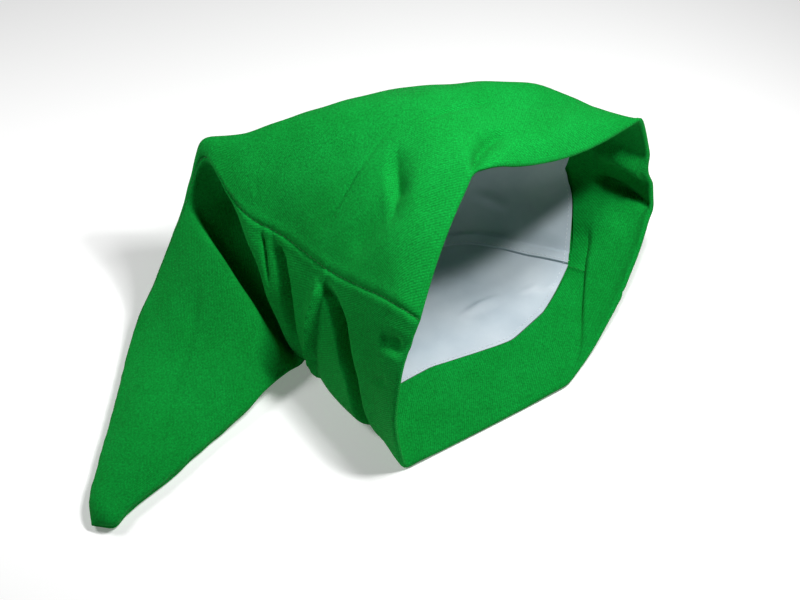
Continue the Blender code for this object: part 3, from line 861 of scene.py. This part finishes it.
weave = add(tree, "ShaderNodeMath", {0: ribs.outputs["Fac"], 1: threads.outputs["Fac"]},
            operation="MULTIPLY")
body_colour = ramp(tree, mottle.outputs["Fac"], 0.35, 0.65, "#06A93C", "#0AB343")
fibre = ramp(tree, grain.outputs["Fac"], 0.3, 0.7, "#CACACA", "#FFFFFF")
rib_shade = ramp(tree, weave.outputs[0], 0, 1, "#CCCCCC", "#FFFFFF")
tinted = add(tree, "ShaderNodeMix", {0: 1.0}, data_type="RGBA", blend_type="MULTIPLY")
tree.links.new(body_colour, tinted.inputs[6])
tree.links.new(fibre, tinted.inputs[7])
shaded = add(tree, "ShaderNodeMix", {0: 1.0}, data_type="RGBA", blend_type="MULTIPLY")
tree.links.new(tinted.outputs[2], shaded.inputs[6])
tree.links.new(rib_shade, shaded.inputs[7])
relief = add(tree, "ShaderNodeMath", {0: weave.outputs[0], 1: grain.outputs["Fac"]},
             operation="ADD")
bump = add(tree, "ShaderNodeBump", {"Height": relief.outputs[0], "Strength": 0.55,
                                    "Distance": 0.25 * MM})
surface_node = add(tree, "ShaderNodeBsdfPrincipled",
                   {"Base Color": shaded.outputs[2], "Normal": bump.outputs[0],
                    "Roughness": 0.92, "Specular IOR Level": 0.08, "Sheen Weight": 0.03,
                    "Sheen Roughness": 0.6})
surface_node.inputs["Sheen Tint"].default_value = linear("#7DE08C")
add(tree, "ShaderNodeOutputMaterial", {"Surface": surface_node.outputs[0]})
print(twill.name, "has", len(tree.nodes), "nodes")

# %% [markdown]
# ### White lining satin
# In the photograph the lining is white with a cool cast and has a soft gloss. That it is a satin,
# and the pitch of 0.7 mm at which its weave is drawn, are guesses.

# %% White lining satin
SATIN_PITCH = 0.7 * MM
satin, tree = new_material("White lining satin")
cloth = add(tree, "ShaderNodeUVMap", uv_map="Cloth").outputs[0]
weft = add(tree, "ShaderNodeTexWave",
           {"Vector": cloth, "Scale": WAVE_TEXTURE_PITCH / SATIN_PITCH, "Distortion": 1.5,
            "Detail": 2}, bands_direction="X")
place = add(tree, "ShaderNodeTexCoord").outputs["Object"]
cloud = add(tree, "ShaderNodeTexNoise", {"Vector": place, "Scale": 30, "Detail": 4})
satin_colour = ramp(tree, cloud.outputs["Fac"], 0.35, 0.65, "#B0BDC7", "#C3CDD5")
bump = add(tree, "ShaderNodeBump", {"Height": weft.outputs["Fac"], "Strength": 0.15,
                                    "Distance": 0.1 * MM})
surface_node = add(tree, "ShaderNodeBsdfPrincipled",
                   {"Base Color": satin_colour, "Normal": bump.outputs[0], "Roughness": 0.5,
                    "Specular IOR Level": 0.35, "Sheen Weight": 0.1, "Sheen Roughness": 0.4})
add(tree, "ShaderNodeOutputMaterial", {"Surface": surface_node.outputs[0]})
print(satin.name, "has", len(tree.nodes), "nodes")

# %% [markdown]
# ### Polyester sewing thread
# The threads are taken to be spun polyester, dyed to match their cloth. They are drawn a little
# glossier than the twill.

# %% Sewing threads
def sewing_thread(name, colour):
    material, tree = new_material(name)
    place = add(tree, "ShaderNodeTexCoord").outputs["Object"]
    twist = add(tree, "ShaderNodeTexNoise", {"Vector": place, "Scale": 2500})
    shade = ramp(tree, twist.outputs["Fac"], 0.3, 0.7, "#BEBEBE", "#FFFFFF")
    dyed = add(tree, "ShaderNodeMix", {0: 1.0, 6: shade}, data_type="RGBA", blend_type="MULTIPLY")
    dyed.inputs[7].default_value = linear(colour)
    body = add(tree, "ShaderNodeBsdfPrincipled",
               {"Base Color": dyed.outputs[2], "Roughness": 0.6, "Specular IOR Level": 0.4})
    add(tree, "ShaderNodeOutputMaterial", {"Surface": body.outputs[0]})
    return material


green_thread = sewing_thread("Green polyester thread", "#0B8A36")
white_thread = sewing_thread("White polyester thread", "#E6EDF2")
print("threads:", green_thread.name, "and", white_thread.name)

# %% Seams of the panels and of the lining
SEAM_PITCH, SEAM_STITCH, SEAM_THREAD = 2.8 * MM, 2.3 * MM, 0.45 * MM
HEM_PITCH, HEM_STITCH, HEM_THREAD = 2.4 * MM, 1.7 * MM, 0.35 * MM
STITCHES_END = 8                  # rows left free at the tip
HEM_STITCH_ROW = 2                # rows of the lining from its sewn edge
LAP_STITCH_COLUMN = 3             # columns beside the lining's far seam

groove_line = [outer_face[:-STITCHES_END, column] + normals[:-STITCHES_END, column] * SEAM_THREAD / 4
               for column in (0, half_turn)]
seam_stitches = sewn("seam_stitches", groove_line, SEAM_PITCH, SEAM_STITCH, SEAM_THREAD, green_thread)
hem_line = satin_inner[HEM_STITCH_ROW] - normals[first + HEM_STITCH_ROW] * HEM_THREAD / 4
hem_line = np.vstack([hem_line, hem_line[:1]])
lap_line = (satin_inner[:, half_turn - LAP_STITCH_COLUMN]
            - normals[first:last_row, half_turn - LAP_STITCH_COLUMN] * HEM_THREAD / 4)
lining_stitches = sewn("lining_stitches", [hem_line, lap_line], HEM_PITCH, HEM_STITCH, HEM_THREAD,
                       white_thread)
for piece in (seam_stitches, lining_stitches):
    print(piece.name, "has", len(piece.data.polygons), "faces")

# %% [markdown]
# ## Table
# The photograph shows the hat on white, and a pale table stands for that. It glows a little, so
# that it comes out white.

# %% Table
TABLE_HALF = 3.0                  # m
TABLE_GAP = 0.1 * MM              # below the hat, so that the faces don't flicker
TABLE_GLOW = 0.2
table, tree = new_material("Pale table")
surface_node = add(tree, "ShaderNodeBsdfPrincipled", {"Roughness": 0.9, "Emission Strength": TABLE_GLOW})
surface_node.inputs["Emission Color"].default_value = linear("#FFFFFF")
surface_node.inputs["Base Color"].default_value = linear("#F4F4F4")
add(tree, "ShaderNodeOutputMaterial", {"Surface": surface_node.outputs[0]})
mesh = bpy.data.meshes.new("table")
corners = [(x * TABLE_HALF, y * TABLE_HALF, -TABLE_GAP)
           for x, y in ((-1, -1), (1, -1), (1, 1), (-1, 1))]
mesh.from_pydata(corners, [], [(0, 1, 2, 3)])
mesh.materials.append(table)
table_top = bpy.data.objects.new("table", mesh)
scene.collection.objects.link(table_top)
print("table top:", 2 * TABLE_HALF, "m square")

# %% [markdown]
# ## Put the pieces on the model
# Every piece rides on the one body of the model. The cloth pieces stand for its four solids, which
# are hidden. The area of each piece's cloth is printed, and it is less than a real pattern has.


def cloth_area(points):
    """Area of one face of the cloth, from its grid of points."""
    down, beside = np.diff(points, axis=0)[:, :-1], np.diff(points, axis=1)[:-1]
    return np.linalg.norm(np.cross(down, beside), axis=2).sum()


for side in panel_columns:
    panels[side].data.materials.append(twill)
    linings[side].data.materials.append(satin)
    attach(panels[side], "root")
    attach(linings[side], "root")
    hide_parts(side + "_panel")
    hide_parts("lining_" + side)
    print(side, "cloth in square metres:",
          round(cloth_area(outer_face[:, panel_columns[side]]), 4), "and lining:",
          round(cloth_area(satin_outer[:, panel_columns[side]]), 4))
for piece, slot in ((seam_stitches, "twill"), (lining_stitches, "lining")):
    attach(piece, "root")
print("dressed:", sorted(piece.name for piece in [*panels.values(), *linings.values()]))

# %% [markdown]
# ## Lights
# Two lamps high on the right light the top, the brow and the lining. A third on the left reaches
# the tail. None stands in front, so the near side and the cleft at the fold stay in shade. Their
# places and powers were tuned until the render came near the photo's brightness.

# %% Lights
ROOM_LIGHT = 0.02
# Name, place in m, width in m and power in W
LIGHTS = [
    ("right", (0.20, 0.0, 0.42), 0.05, 1.2),
    ("over the brow", (0.12, 0.04, 0.40), 0.07, 1.0),
    ("left", (-0.38, 0.06, 0.36), 0.15, 1.0),
]
for name, position, size, power in LIGHTS:
    lamp = bpy.data.objects.new(name, bpy.data.lights.new(name, "AREA"))
    scene.collection.objects.link(lamp)
    lamp.data.size = size
    lamp.data.energy = power
    lamp.location = position
    lamp.rotation_euler = Vector(position).to_track_quat("Z", "Y").to_euler()
world = bpy.data.worlds.new("Studio")
world.use_nodes = True
background = world.node_tree.nodes["Background"]
background.inputs["Color"].default_value = (1, 1, 1, 1)
background.inputs["Strength"].default_value = ROOM_LIGHT
scene.world = world
print("lights:", [name for name, *_ in LIGHTS])
